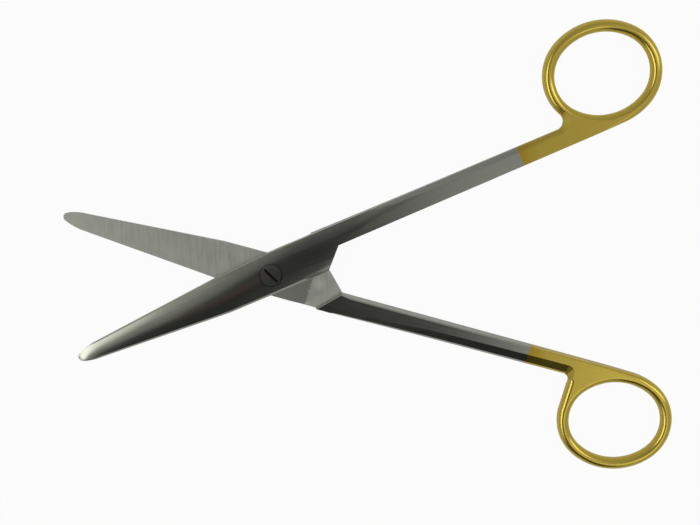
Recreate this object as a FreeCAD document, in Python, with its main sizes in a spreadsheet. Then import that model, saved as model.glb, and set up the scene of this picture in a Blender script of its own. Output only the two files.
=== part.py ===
import FreeCAD, Part
import Sketcher
import math
import os

os.makedirs("parts", exist_ok=True)
doc = FreeCAD.newDocument("DissectingScissors")

# Driving dimensions in millimetres and degrees
# A half is drawn closed: X runs from the pivot to the ring, Y towards the ring's side, Z = 0 is the
# face on which the two halves slide, and the half's own outer face looks up
dimensions = {
    # Blade
    "blade_reach": 56.0,
    "blade_spine_radius": 3000.0,
    "nose_length": 6.0,
    "nose_edge_width": 1.95,
    "nose_spine_width": 2.55,
    "nose_edge_radius": 16.0,
    "nose_spine_radius": 14.0,
    "tip_length": 0.73,
    "tip_set": 0.45,
    "tip_radius": 1.12,
    "edge_flare_radius": 330.0,
    "edge_flare_start": 8.0,
    "joint_front": 14.0,
    "spine_facet": 0.45,
    # Crowned outer face of the blade and joint, at six stations
    "nose_height": 1.0,
    "nose_crown_radius": 9.0,
    "nose_overrun": 1.0,
    "middle_station": 35.0,
    "middle_height": 1.55,
    "middle_crown_radius": 13.0,
    "root_station": 17.5,
    "root_height": 1.95,
    "root_crown_radius": 15.0,
    "front_station": 11.2,
    "front_height": 2.4,
    "front_crown_radius": 16.0,
    "pivot_height": 2.65,
    "pivot_crown_radius": 24.0,
    "rear_height": 2.8,
    "rear_crown_radius": 45.0,
    "crown_offset": 1.4,
    # Joint
    "joint_thickness": 2.35,
    "joint_spine": 4.95,
    "joint_gap": 0.03,
    "shoulder_rear": 19.4,
    "shoulder_front": 14.3,
    "stop_clearance": 0.08,
    # Shank
    "shank_gap": 0.3,
    "shank_outer": 5.68,
    "shank_outer_rear": 5.3,
    "shank_low": 1.95,
    "slope_start": 22.0,
    "web_start": 86.0,
    "edge_rounding": 1.3,
    "strip_overlap": 0.25,
    "facet_front": 15.0,
    "facet_wide": 44.0,
    "facet_rear": 74.0,
    "facet_end": 92.0,
    "facet_point": 0.05,
    "facet_width": 2.5,
    "facet_rear_width": 2.75,
    "facet_angle": 27.0,
    "hollow_width": 4.7,
    "hollow_depth": 0.25,
    "hollow_margin": 0.3,
    # Finger ring
    "ring_along": 98.6,
    "ring_tilt": 13.0,
    "hole_length": 24.5,
    "hole_width": 21.0,
    "hole_end_radius": 9.6,
    "ring_band": 3.1,
    "ring_half_thickness": 1.65,
    "ring_corner_radius": 2.2,
    # Pivot screw
    "screw_radius": 1.6,
    "screw_gap": 0.03,
    "head_radius": 2.8,
    "head_rim": 0.3,
    "slot_width": 0.55,
    "slot_depth": 0.7,
    "slot_length": 4.8,
    "slot_turn": 47.5,
    # Pose in the photograph: each half is turned this far from the middle line
    "half_opening": 19.48,
}

sheet = doc.addObject("Spreadsheet::Sheet", "Sizes")
for row, (alias, value) in enumerate(dimensions.items(), start=1):
    sheet.set("A%d" % row, alias)
    sheet.set("B%d" % row, str(value))
    sheet.setAlias("B%d" % row, alias)
doc.recompute()


def vec(x, y, z=0.0):
    return FreeCAD.Vector(x, y, z)


def value_of(expression):
    return float(sheet.evalExpression(expression))


def origin_plane(body, role):
    return next(item for item in body.Origin.OriginFeatures if item.Role == role)


def add_sketch(body, name, role="XY_Plane"):
    sketch = body.newObject("Sketcher::SketchObject", name)
    sketch.AttachmentSupport = [(origin_plane(body, role), "")]
    sketch.MapMode = "FlatFace"
    return sketch


def bind(sketch, kind, elements, expression, name):
    # One driving constraint whose value is an expression on the sheet
    index = sketch.addConstraint(Sketcher.Constraint(kind, *elements, value_of(expression)))
    sketch.renameConstraint(index, name)
    sketch.setExpression("Constraints." + name, expression)


def pin(sketch, element, point, x, y, name):
    # Ties a point of the sketch to two expressions, measured from the pivot
    bind(sketch, "DistanceX", (-1, 1, element, point), x, name + "_along")
    bind(sketch, "DistanceY", (-1, 1, element, point), y, name + "_out")


def corner(x, y):
    return vec(value_of(x), value_of(y))


def arc_between(first, last, radius):
    # An arc from first to last that bulges to the right of the way from one to the other
    middle = (first + last) * 0.5
    run = last - first
    side = vec(run.y, -run.x) * (1.0 / run.Length)
    rise = abs(radius) - math.sqrt(radius * radius - run.Length ** 2 / 4.0)
    return Part.Arc(first, middle + side * math.copysign(rise, radius), last)


def polygon(sketch, corners, names):
    # Straight lines from corner to corner; each corner is tied to its own two expressions
    points = [corner(x, y) for x, y in corners]
    count = len(points)
    sketch.addGeometry([Part.LineSegment(points[i], points[(i + 1) % count]) for i in range(count)], False)
    for i in range(count):
        sketch.addConstraint(Sketcher.Constraint("Coincident", i, 2, (i + 1) % count, 1))
        pin(sketch, i, 1, corners[i][0], corners[i][1], names[i])


# Expressions that several sketches share
RING_A = "Sizes.hole_length / 2"
RING_B = "Sizes.hole_width / 2"
SIDE_RADIUS = (
    "((%s)^2 + (%s)^2 - 2 * (%s) * Sizes.hole_end_radius) / (2 * ((%s) - Sizes.hole_end_radius))"
    % (RING_A, RING_B, RING_A, RING_B)
)
END_OFFSET = "(%s - Sizes.hole_end_radius)" % RING_A
SIDE_OFFSET = "(%s - %s)" % (SIDE_RADIUS, RING_B)
COS_TILT = "cos(Sizes.ring_tilt * 1 deg)"
SIN_TILT = "sin(Sizes.ring_tilt * 1 deg)"
# The ring stands out so far that its lowest arc runs on from the shank's inner side
RING_OUT = "(Sizes.shank_gap + Sizes.ring_band + %s - %s * %s)" % (SIDE_RADIUS, SIDE_OFFSET, COS_TILT)

CROWN_REACH = "1.4 * Sizes.joint_spine"
CROWN_TOP = "2 * Sizes.joint_thickness"
STOCK_TOP = "2 * Sizes.joint_thickness"
# Stations of the crowned outer face: place along the half, and the crest's offset from the middle line
CROWN = {
    "nose": ("-Sizes.blade_reach - Sizes.nose_overrun", "-Sizes.tip_set"),
    "middle": ("-Sizes.middle_station", "-Sizes.crown_offset"),
    "root": ("-Sizes.root_station", "-Sizes.crown_offset"),
    "front": ("-Sizes.front_station", "-Sizes.crown_offset"),
    "pivot": ("0", "0"),
    "rear": ("Sizes.slope_start", "0"),
}
SHOULDER_LEAN = "((Sizes.shoulder_rear - Sizes.shoulder_front) / (Sizes.joint_spine + Sizes.shank_gap))"
WALL_AWAY = (
    "((Sizes.shoulder_rear - Sizes.shank_gap * " + SHOULDER_LEAN + ") / sqrt(1 + " + SHOULDER_LEAN + "^2)"
    " + Sizes.stop_clearance)"
)
HOLLOW_RADIUS = "(Sizes.hollow_width^2 / (8 * Sizes.hollow_depth) + Sizes.hollow_depth / 2)"
# Stations of the facet along the shank: place along the half and width seen from below
FACET = {
    "front": ("Sizes.facet_front", "Sizes.facet_point"),
    "wide": ("Sizes.facet_wide", "Sizes.facet_width"),
    "rear": ("Sizes.facet_rear", "Sizes.facet_rear_width"),
    "end": ("Sizes.facet_end", "Sizes.facet_point"),
}
FAR_END = "Sizes.ring_along + Sizes.hole_length"
FRONT_WIDTH = (
    "Sizes.shank_outer - Sizes.edge_flare_radius"
    " + sqrt(Sizes.edge_flare_radius^2 - (Sizes.edge_flare_start + Sizes.joint_front)^2)"
)
WALL_ALONG = (
    "Sizes.shoulder_rear - (%s + Sizes.shank_gap) * " + SHOULDER_LEAN
    + " + Sizes.stop_clearance * sqrt(1 + " + SHOULDER_LEAN + "^2)"
)
OUTER_SLOPE = (
    "(Sizes.joint_thickness - (Sizes.joint_thickness - Sizes.ring_half_thickness)"
    " * (%s - Sizes.slope_start) / (Sizes.ring_along - Sizes.slope_start))"
)
INNER_SLOPE = (
    "(Sizes.shank_low - (Sizes.shank_low - Sizes.ring_half_thickness) * %s / Sizes.ring_along)"
)


def ring_centres():
    # Centres of the oval's four arcs: right end, top, left end and bottom
    along = (END_OFFSET + " * " + COS_TILT, END_OFFSET + " * " + SIN_TILT)
    across = (SIDE_OFFSET + " * " + SIN_TILT, SIDE_OFFSET + " * " + COS_TILT)
    return {
        "right": ("Sizes.ring_along + " + along[0], RING_OUT + " - " + along[1]),
        "top": ("Sizes.ring_along - " + across[0], RING_OUT + " - " + across[1]),
        "left": ("Sizes.ring_along - " + along[0], RING_OUT + " + " + along[1]),
        "bottom": ("Sizes.ring_along + " + across[0], RING_OUT + " + " + across[1]),
    }


def join_point(end_centre, side_centre, end_radius):
    # Where an end arc meets a side arc: on the line through both centres, past the end's
    way = end_centre - side_centre
    return end_centre + way * (end_radius / way.Length)


def sector(centre, first, last):
    # The arc about centre from first to last, anticlockwise
    start = math.atan2(first.y - centre.y, first.x - centre.x)
    stop = math.atan2(last.y - centre.y, last.x - centre.x)
    circle = Part.Circle(centre, vec(0, 0, 1), (first - centre).Length)
    return Part.ArcOfCircle(circle, start, stop)


def oval(sketch):
    # The finger hole's outline: four tangent arcs, anticlockwise from the right end
    centres = ring_centres()
    spots = {side: corner(*centres[side]) for side in centres}
    end_radius = "Sizes.hole_end_radius"
    side_radius = SIDE_RADIUS
    reach = value_of(end_radius)
    joins = [
        join_point(spots["right"], spots["bottom"], reach),
        join_point(spots["right"], spots["top"], reach),
        join_point(spots["left"], spots["top"], reach),
        join_point(spots["left"], spots["bottom"], reach),
    ]
    sides = ["right", "top", "left", "bottom"]
    arcs = [sector(spots[sides[i]], joins[i], joins[(i + 1) % 4]) for i in range(4)]
    sketch.addGeometry(arcs, False)
    for i in range(4):
        sketch.addConstraint(Sketcher.Constraint("Tangent", i, 2, (i + 1) % 4, 1))
        bind(sketch, "Radius", (i,), end_radius if i % 2 == 0 else side_radius, sides[i] + "_radius")
    for i in (0, 2):
        pin(sketch, i, 3, centres[sides[i]][0], centres[sides[i]][1], sides[i] + "_centre")


def handle_outline(sketch):
    # Joint, shank and ring seen from above, as one closed line, from the shoulder's rear anticlockwise
    centres = ring_centres()
    spots = {side: corner(*centres[side]) for side in centres}
    end_radius = "Sizes.hole_end_radius + Sizes.ring_band"
    side_radius = SIDE_RADIUS + " + Sizes.ring_band"
    reach = value_of(end_radius)
    wide = value_of(side_radius)
    rear = corner("Sizes.shoulder_rear", "Sizes.shank_gap")
    reach_back = spots["bottom"] - rear
    sweep = math.atan2(reach_back.y, reach_back.x) - math.asin(wide / reach_back.Length)
    span = math.sqrt(reach_back.Length ** 2 - wide ** 2)
    web = rear + vec(math.cos(sweep), math.sin(sweep)) * span
    low_right = join_point(spots["right"], spots["bottom"], reach)
    high_right = join_point(spots["right"], spots["top"], reach)
    high_left = join_point(spots["left"], spots["top"], reach)
    inset = value_of("Sizes.ring_corner_radius")
    crook = vec(0, value_of("Sizes.shank_outer_rear") + inset)
    crook.x = spots["left"].x - math.sqrt((reach + inset) ** 2 - (crook.y - spots["left"].y) ** 2)
    way = crook - spots["left"]
    neck = spots["left"] + way * (reach / way.Length)
    foot = vec(crook.x, value_of("Sizes.shank_outer_rear"))
    flare = corner("Sizes.edge_flare_start", "Sizes.shank_outer")
    flare_centre = flare - vec(0, value_of("Sizes.edge_flare_radius"))
    front_along = -value_of("Sizes.joint_front")
    rise = math.sqrt(value_of("Sizes.edge_flare_radius") ** 2 - (front_along - flare_centre.x) ** 2)
    front = vec(front_along, flare_centre.y + rise)
    front_low = corner("-Sizes.joint_front", "-Sizes.joint_spine")
    shoulder = corner("Sizes.shoulder_front", "-Sizes.joint_spine")
    sketch.addGeometry([
        Part.LineSegment(rear, web),
        sector(spots["bottom"], web, low_right),
        sector(spots["right"], low_right, high_right),
        sector(spots["top"], high_right, high_left),
        sector(spots["left"], high_left, neck),
        sector(crook, foot, neck),
        Part.LineSegment(foot, flare),
        sector(flare_centre, flare, front),
        Part.LineSegment(front, front_low),
        Part.LineSegment(front_low, shoulder),
        Part.LineSegment(shoulder, rear),
    ], False)
    for element in (7, 8, 9, 10):
        sketch.addConstraint(Sketcher.Constraint("Coincident", element, 2, (element + 1) % 11, 1))
    for element in (0, 1, 2, 3, 6):
        sketch.addConstraint(Sketcher.Constraint("Tangent", element, 2, element + 1, 1))
    sketch.addConstraint(Sketcher.Constraint("Tangent", 4, 2, 5, 2))
    sketch.addConstraint(Sketcher.Constraint("Tangent", 5, 1, 6, 1))
    for element, side in ((2, "right"), (4, "left")):
        pin(sketch, element, 3, centres[side][0], centres[side][1], side + "_centre")
        bind(sketch, "Radius", (element,), end_radius, side + "_radius")
    for element, side in ((1, "bottom"), (3, "top")):
        bind(sketch, "Radius", (element,), side_radius, side + "_radius")
    bind(sketch, "DistanceX", (-1, 1, 1, 3), centres["bottom"][0], "bottom_centre")
    bind(sketch, "Radius", (5,), "Sizes.ring_corner_radius", "corner_radius")
    bind(sketch, "Radius", (7,), "Sizes.edge_flare_radius", "flare_radius")
    pin(sketch, 0, 1, "Sizes.shoulder_rear", "Sizes.shank_gap", "shoulder_rear")
    bind(sketch, "DistanceY", (-1, 1, 6, 1), "Sizes.shank_outer_rear", "outer_rear")
    pin(sketch, 6, 2, "Sizes.edge_flare_start", "Sizes.shank_outer", "outer_front")
    bind(sketch, "DistanceX", (-1, 1, 8, 1), "-Sizes.joint_front", "front")
    pin(sketch, 9, 1, "-Sizes.joint_front", "-Sizes.joint_spine", "front_low")
    pin(sketch, 10, 1, "Sizes.shoulder_front", "-Sizes.joint_spine", "shoulder")


def blade_outline(sketch):
    # Blade from the joint to the tip, seen from above, anticlockwise from the joint's upper corner
    nose = "-Sizes.blade_reach + Sizes.nose_length"
    tip = "-Sizes.blade_reach + Sizes.tip_length"
    front = corner("-Sizes.joint_front", FRONT_WIDTH)
    edge_nose = corner(nose, "Sizes.nose_edge_width")
    spine_nose = corner(nose, "-Sizes.nose_spine_width")
    spine_front = corner("-Sizes.joint_front", "-Sizes.joint_spine")
    radius = value_of("Sizes.tip_radius")
    half_chord = math.sqrt(radius ** 2 - (radius - value_of("Sizes.tip_length")) ** 2)
    tip_edge = vec(value_of(tip), half_chord - value_of("Sizes.tip_set"))
    tip_spine = vec(value_of(tip), -half_chord - value_of("Sizes.tip_set"))
    sketch.addGeometry([
        Part.LineSegment(front, edge_nose),
        arc_between(edge_nose, tip_edge, value_of("Sizes.nose_edge_radius")),
        arc_between(tip_edge, tip_spine, radius),
        arc_between(tip_spine, spine_nose, value_of("Sizes.nose_spine_radius")),
        arc_between(spine_nose, spine_front, value_of("Sizes.blade_spine_radius")),
        Part.LineSegment(spine_front, front),
    ], False)
    for element in range(6):
        sketch.addConstraint(Sketcher.Constraint("Coincident", element, 2, (element + 1) % 6, 1))
    pin(sketch, 0, 1, "-Sizes.joint_front", FRONT_WIDTH, "front")
    pin(sketch, 1, 1, nose, "Sizes.nose_edge_width", "edge_nose")
    pin(sketch, 4, 1, nose, "-Sizes.nose_spine_width", "spine_nose")
    pin(sketch, 5, 1, "-Sizes.joint_front", "-Sizes.joint_spine", "spine_front")
    pin(sketch, 2, 3, "-Sizes.blade_reach + Sizes.tip_radius", "-Sizes.tip_set", "tip_centre")
    bind(sketch, "DistanceX", (-1, 1, 2, 1), tip, "tip_edge")
    bind(sketch, "DistanceX", (-1, 1, 3, 1), tip, "tip_spine")
    bind(sketch, "Radius", (1,), "Sizes.nose_edge_radius", "nose_edge_radius")
    bind(sketch, "Radius", (2,), "Sizes.tip_radius", "tip_radius")
    bind(sketch, "Radius", (3,), "Sizes.nose_spine_radius", "nose_spine_radius")
    bind(sketch, "Radius", (4,), "Sizes.blade_spine_radius", "spine_radius")


def add_pad(body, sketch, name, length):
    pad = body.newObject("PartDesign::Pad", name)
    pad.Profile = sketch
    pad.setExpression("Length", length)
    return pad


def add_pocket(body, sketch, name, length=None):
    # Cuts from the sketch's plane against its normal, or right through the body both ways
    pocket = body.newObject("PartDesign::Pocket", name)
    pocket.Profile = sketch
    if length is None:
        pocket.Type = "ThroughAll"
        pocket.Midplane = True
    else:
        pocket.setExpression("Length", length)
    return pocket


def profile_cut(body, name, corners, names):
    # Cuts everything inside an outline in the XZ plane, right across the half
    sketch = add_sketch(body, name + "_profile", "XZ_Plane")
    polygon(sketch, corners, names)
    return add_pocket(body, sketch, name)


def crown_section(body, spot, station, offset):
    # One section of what the crown removes: all that lies above an arc across the half
    sketch = add_sketch(body, "%s_crown_%s" % (body.Name, spot), "YZ_Plane")
    height = "Sizes.%s_height" % spot
    radius = "Sizes.%s_crown_radius" % spot
    sketch.setExpression("AttachmentOffset.Base.z", station)
    crest = value_of(height)
    bend = value_of(radius)
    middle = value_of(offset)
    reach = value_of(CROWN_REACH)
    top = value_of(CROWN_TOP)
    left = vec(-reach, crest - bend + math.sqrt(bend ** 2 - (reach + middle) ** 2))
    right = vec(reach, crest - bend + math.sqrt(bend ** 2 - (reach - middle) ** 2))
    crown = Part.Arc(right, vec(middle, crest), left)
    sketch.addGeometry([
        crown,
        Part.LineSegment(left, vec(-reach, top)),
        Part.LineSegment(vec(-reach, top), vec(reach, top)),
        Part.LineSegment(vec(reach, top), right),
    ], False)
    for element in range(4):
        sketch.addConstraint(Sketcher.Constraint("Coincident", element, 2, (element + 1) % 4, 1))
    pin(sketch, 2, 1, "-(%s)" % CROWN_REACH, CROWN_TOP, "left_top")
    pin(sketch, 3, 1, CROWN_REACH, CROWN_TOP, "right_top")
    bind(sketch, "DistanceX", (-1, 1, 1, 1), "-(%s)" % CROWN_REACH, "left")
    bind(sketch, "DistanceX", (-1, 1, 0, 1), CROWN_REACH, "right")
    pin(sketch, 0, 3, offset, "%s - %s" % (height, radius), "centre")
    bind(sketch, "Radius", (0,), radius, "bend")
    return sketch


def near_enough():
    # How far off a curve or a face a point may lie and still count as on it
    return value_of("Sizes.joint_gap") / 10


def edges_over(shape, curves, wanted):
    # Names of the edges that lie over the given curves of a sketch, and whose points are all wanted
    found = []
    outlines = [curve.toShape() for curve in curves]
    for number, edge in enumerate(shape.Edges, start=1):
        first, last = edge.FirstParameter, edge.LastParameter
        spots = [edge.valueAt(first + (last - first) * share) for share in (0.0, 0.5, 1.0)]
        if not all(wanted(spot) for spot in spots):
            continue
        foot = Part.Vertex(spots[1].x, spots[1].y, 0.0)
        if min(foot.distToShape(outline)[0] for outline in outlines) < near_enough():
            found.append("Edge%d" % number)
    return found


def on_outer_face(spot):
    return abs(spot.z - value_of(OUTER_SLOPE % ("(%.9f)" % spot.x))) < near_enough()


def on_inner_face(spot):
    return abs(spot.z + value_of(INNER_SLOPE % ("(%.9f)" % spot.x))) < near_enough()


def above_face(spot):
    return spot.z > value_of("Sizes.joint_gap")


def add_fillet(body, base, name, edges, radius):
    fillet = body.newObject("PartDesign::Fillet", name)
    fillet.Base = (base, edges)
    fillet.setExpression("Radius", radius)
    return fillet


def add_chamfer(body, base, name, edges, size):
    chamfer = body.newObject("PartDesign::Chamfer", name)
    chamfer.Base = (base, edges)
    chamfer.setExpression("Size", size)
    return chamfer


def facet_section(body, spot, station, width):
    # One section of the wide facet ground along the shank's outer side, below
    sketch = add_sketch(body, "%s_facet_%s" % (body.Name, spot), "YZ_Plane")
    sketch.setExpression("AttachmentOffset.Base.z", station)
    line = "(Sizes.shank_outer - " + width + ")"
    low = "-" + INNER_SLOPE % ("(" + station + ")")
    far = "2 * Sizes.shank_low"
    polygon(sketch, [
        (line, low),
        (line + " + " + far, low + " - " + far),
        (line + " + " + far, low + " + " + far + " * tan(Sizes.facet_angle * 1 deg)"),
    ], ["line", "below", "side"])
    return sketch


def edge_section(body, name, station, sunk):
    # Upright section of the shank's inner corner; sunk takes it below the faces
    sketch = add_sketch(body, name, "YZ_Plane")
    sketch.setExpression("AttachmentOffset.Base.z", station)
    inner = "Sizes.shank_gap"
    depth = "(Sizes.edge_rounding + Sizes.strip_overlap - %s)" % sunk
    top = "%s - %s" % (OUTER_SLOPE % ("(" + station + ")"), sunk)
    low = "-%s + %s" % (INNER_SLOPE % ("(" + station + ")"), sunk)
    polygon(sketch, [
        (inner, low),
        (inner + " + " + depth, low),
        (inner + " + " + depth, top),
        (inner, top),
    ], ["low_inner", "low_outer", "top_outer", "top_inner"])
    return sketch


def make_half(name, bore_radius):
    body = doc.addObject("PartDesign::Body", name)
    outline = add_sketch(body, name + "_outline")
    handle_outline(outline)
    add_pad(body, outline, name + "_blank", STOCK_TOP + " + Sizes.shank_low")
    outline.setExpression("AttachmentOffset.Base.z", "-Sizes.shank_low")

    # In front of the step wall only the upper half of the thickness stays
    step = add_sketch(body, name + "_step_plan")
    far = "2 * Sizes.joint_spine"
    polygon(step, [
        ("-2 * Sizes.joint_front", "-" + far),
        (WALL_ALONG % ("-" + far), "-" + far),
        (WALL_ALONG % far, far),
        ("-2 * Sizes.joint_front", far),
    ], ["front_inner", "wall_inner", "wall_outer", "front_outer"])
    add_pocket(body, step, name + "_step", "2 * Sizes.shank_low")

    # Both faces of the shank and ring thin out towards the ring's end
    profile_cut(body, name + "_outer_slope", [
        ("-2 * Sizes.joint_front", OUTER_SLOPE % "(-2 * Sizes.joint_front)"),
        (FAR_END, OUTER_SLOPE % ("(" + FAR_END + ")")),
        (FAR_END, STOCK_TOP),
        ("-2 * Sizes.joint_front", STOCK_TOP),
    ], ["front", "rear", "rear_top", "front_top"])
    profile_cut(body, name + "_inner_slope", [
        ("0", "-" + INNER_SLOPE % "0"),
        ("0", "-2 * Sizes.shank_low"),
        (FAR_END, "-2 * Sizes.shank_low"),
        (FAR_END, "-" + INNER_SLOPE % ("(" + FAR_END + ")")),
    ], ["front", "front_low", "rear_low", "rear"])
    hole = add_sketch(body, name + "_hole_plan")
    oval(hole)
    drilled = add_pocket(body, hole, name + "_finger_hole")
    doc.recompute()

    # Rounding along the outer side and all round the ring, above and below
    outer = outline.Geometry[0:8]
    rim = hole.Geometry
    top_edges = edges_over(drilled.Shape, outer + rim, on_outer_face)
    low_edges = edges_over(drilled.Shape, outer + rim, on_inner_face)
    add_fillet(body, drilled, name + "_rounding", top_edges + low_edges, "Sizes.edge_rounding")

    # The shank's inner corners stay sharp and run out into the ring's rounding
    strip = body.newObject("PartDesign::AdditiveLoft", name + "_inner_edge")
    strip.Profile = edge_section(body, name + "_edge_front", "Sizes.shoulder_rear", "0")
    strip.Sections = [
        edge_section(body, name + "_edge_rear", "Sizes.web_start", "0"),
        edge_section(body, name + "_edge_end", "Sizes.ring_along - Sizes.ring_band", "Sizes.edge_rounding"),
    ]
    strip.Ruled = True

    # Flat land of the joint, then the blade in front of it
    profile_cut(body, name + "_land", [
        ("-2 * Sizes.joint_front", "Sizes.joint_thickness"),
        ("Sizes.slope_start", "Sizes.joint_thickness"),
        ("Sizes.slope_start", STOCK_TOP),
        ("-2 * Sizes.joint_front", STOCK_TOP),
    ], ["front", "rear", "rear_top", "front_top"])
    blade = add_sketch(body, name + "_blade_outline")
    blade_outline(blade)
    add_pad(body, blade, name + "_blade", "Sizes.joint_thickness")
    crown = body.newObject("PartDesign::SubtractiveLoft", name + "_crown")
    sections = [crown_section(body, spot, *CROWN[spot]) for spot in CROWN]
    crown.Profile = sections[0]
    crown.Sections = sections[1:]
    crown.Ruled = True
    doc.recompute()

    # Narrow facet along the spine
    spine = blade.Geometry[2:5] + outline.Geometry[9:10]
    raised = edges_over(crown.Shape, spine, above_face)
    add_chamfer(body, crown, name + "_spine_facet", raised, "Sizes.spine_facet")

    # Facet along the shank, and the hollow between the sliding face and the step wall
    facet = body.newObject("PartDesign::SubtractiveLoft", name + "_shank_facet")
    sections = [facet_section(body, spot, *FACET[spot]) for spot in FACET]
    facet.Profile = sections[0]
    facet.Sections = sections[1:]
    facet.Ruled = True
    hollow = add_sketch(body, name + "_hollow_profile", "XZ_Plane")
    hollow.AttachmentOffset = FreeCAD.Placement(vec(0, 0), FreeCAD.Rotation(vec(0, 1), 1.0))
    hollow.setExpression("AttachmentOffset.Rotation.Angle", "atan(%s)" % SHOULDER_LEAN)
    first = corner(WALL_AWAY + " - Sizes.hollow_margin - Sizes.hollow_width", "0")
    last = corner(WALL_AWAY + " - Sizes.hollow_margin", "0")
    bend = value_of(HOLLOW_RADIUS)
    hollow.addGeometry([arc_between(last, first, bend), Part.LineSegment(first, last)], False)
    hollow.addConstraint(Sketcher.Constraint("Coincident", 0, 2, 1, 1))
    hollow.addConstraint(Sketcher.Constraint("Coincident", 1, 2, 0, 1))
    pin(hollow, 1, 1, WALL_AWAY + " - Sizes.hollow_margin - Sizes.hollow_width", "0", "front")
    pin(hollow, 1, 2, WALL_AWAY + " - Sizes.hollow_margin", "0", "rear")
    bind(hollow, "Radius", (0,), HOLLOW_RADIUS, "bend")
    add_pocket(body, hollow, name + "_hollow")

    # Screw hole
    bore = add_sketch(body, name + "_bore_circle")
    bore.addGeometry(Part.Circle(vec(0, 0), vec(0, 0, 1), value_of(bore_radius)), False)
    bore.addConstraint(Sketcher.Constraint("Coincident", 0, 3, -1, 1))
    bind(bore, "Radius", (0,), bore_radius, "bore_radius")
    add_pocket(body, bore, name + "_bore")
    doc.recompute()
    return body


def spin(body, feature, name, outline, names):
    # Turns a profile in the XZ plane once round the pivot
    sketch = add_sketch(body, name + "_profile", "XZ_Plane")
    polygon(sketch, outline, names)
    turned = body.newObject("PartDesign::" + feature, name)
    turned.Profile = sketch
    turned.ReferenceAxis = (sketch, ["V_Axis"])
    turned.Angle = 360.0


def head_outline(gap, foot, top):
    # Countersunk head: shaft, cone and rim, wider all round by the gap
    seat = "%s - Sizes.head_rim - (Sizes.head_radius - Sizes.screw_radius)" % top
    return [
        ("0", foot),
        ("Sizes.screw_radius + " + gap, foot),
        ("Sizes.screw_radius + " + gap, seat),
        ("Sizes.head_radius + " + gap, top + " - Sizes.head_rim"),
        ("Sizes.head_radius + " + gap, top),
        ("0", top),
    ]


HEAD_NAMES = ["axis_foot", "foot", "seat", "rim_low", "rim", "axis_top"]
MID_HEIGHT = "(Sizes.joint_thickness + Sizes.joint_gap / 2)"


def set_down(body, height, axis, angle):
    x, y, z = axis
    body.setExpression("Placement", (
        "create(<<placement>>; create(<<vector>>; 0; 0; %s);"
        " create(<<rotation>>; create(<<vector>>; %s; %s; %s); %s))" % (height, x, y, z, angle)
    ))


# The half whose outer face shows, with a clearance bore and a countersink for the head
top_half = make_half("top_half", "Sizes.screw_radius + Sizes.screw_gap")
spin(top_half, "Groove", "top_half_countersink",
     head_outline("Sizes.screw_gap", "-Sizes.joint_thickness", "Sizes.joint_thickness"), HEAD_NAMES)
set_down(top_half, MID_HEIGHT + " + Sizes.joint_gap / 2", ("0", "0", "1"), "Sizes.half_opening")

# The same forging turned over, with the bore that holds the screw's shaft
bottom_half = make_half("bottom_half", "Sizes.screw_radius")
half_angle = "(Sizes.half_opening / 2 * 1 deg)"
set_down(bottom_half, MID_HEIGHT + " - Sizes.joint_gap / 2",
      ("cos" + half_angle, "-sin" + half_angle, "0"), "180")

# Slotted pivot screw, flush with both outer faces
joint_screw = doc.addObject("PartDesign::Body", "joint_screw")
screw_top = "(2 * Sizes.joint_thickness + Sizes.joint_gap)"
spin(joint_screw, "Revolution", "joint_screw_turned", head_outline("0", "0", screw_top), HEAD_NAMES)
slot = add_sketch(joint_screw, "joint_screw_slot_plan")
slot.setExpression("AttachmentOffset.Base.z", screw_top)
half_length = "Sizes.slot_length / 2"
half_width = "Sizes.slot_width / 2"
polygon(slot, [
    ("-" + half_length, "-" + half_width),
    (half_length, "-" + half_width),
    (half_length, half_width),
    ("-" + half_length, half_width),
], ["left_low", "right_low", "right_high", "left_high"])
add_pocket(joint_screw, slot, "joint_screw_slot", "Sizes.slot_depth")
set_down(joint_screw, "0", ("0", "0", "1"), "-Sizes.slot_turn")
doc.recompute()

for item in doc.Objects:
    if "Invalid" in item.State or "Error" in item.State:
        raise RuntimeError("%s did not compute: %s" % (item.Name, item.State))
for body in (top_half, bottom_half, joint_screw):
    if body.Shape.isNull() or not body.Shape.isValid() or len(body.Shape.Solids) != 1:
        raise RuntimeError(body.Name + " is not one valid solid")
    body.Label = body.Name
    body.Shape.exportStep("parts/%s.step" % body.Name)
    box = body.Shape.optimalBoundingBox()
    print(body.Name, round(body.Shape.Volume, 2), box)
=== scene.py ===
import math

import bmesh
import bpy
from mathutils import Matrix, Vector


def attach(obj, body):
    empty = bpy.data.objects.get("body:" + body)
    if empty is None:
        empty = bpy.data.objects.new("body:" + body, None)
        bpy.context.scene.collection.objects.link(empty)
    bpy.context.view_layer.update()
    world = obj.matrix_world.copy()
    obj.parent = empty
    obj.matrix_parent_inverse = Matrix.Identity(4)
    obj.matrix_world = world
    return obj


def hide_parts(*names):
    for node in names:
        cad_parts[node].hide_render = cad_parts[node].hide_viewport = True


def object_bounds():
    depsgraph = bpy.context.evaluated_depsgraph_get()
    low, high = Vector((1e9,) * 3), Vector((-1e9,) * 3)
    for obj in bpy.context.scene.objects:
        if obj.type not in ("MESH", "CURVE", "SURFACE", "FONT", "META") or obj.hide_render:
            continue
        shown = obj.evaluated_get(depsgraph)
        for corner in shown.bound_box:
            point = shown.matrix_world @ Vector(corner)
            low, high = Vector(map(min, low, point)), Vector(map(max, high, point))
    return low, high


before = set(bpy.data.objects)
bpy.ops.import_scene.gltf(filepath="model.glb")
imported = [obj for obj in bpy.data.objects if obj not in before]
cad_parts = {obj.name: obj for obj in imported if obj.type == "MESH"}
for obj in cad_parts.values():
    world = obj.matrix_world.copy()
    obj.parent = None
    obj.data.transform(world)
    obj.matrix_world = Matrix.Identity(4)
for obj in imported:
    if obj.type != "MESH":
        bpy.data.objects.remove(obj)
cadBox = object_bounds()
print("frame loaded:", ", ".join(sorted(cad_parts)))

mm = 0.001


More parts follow.
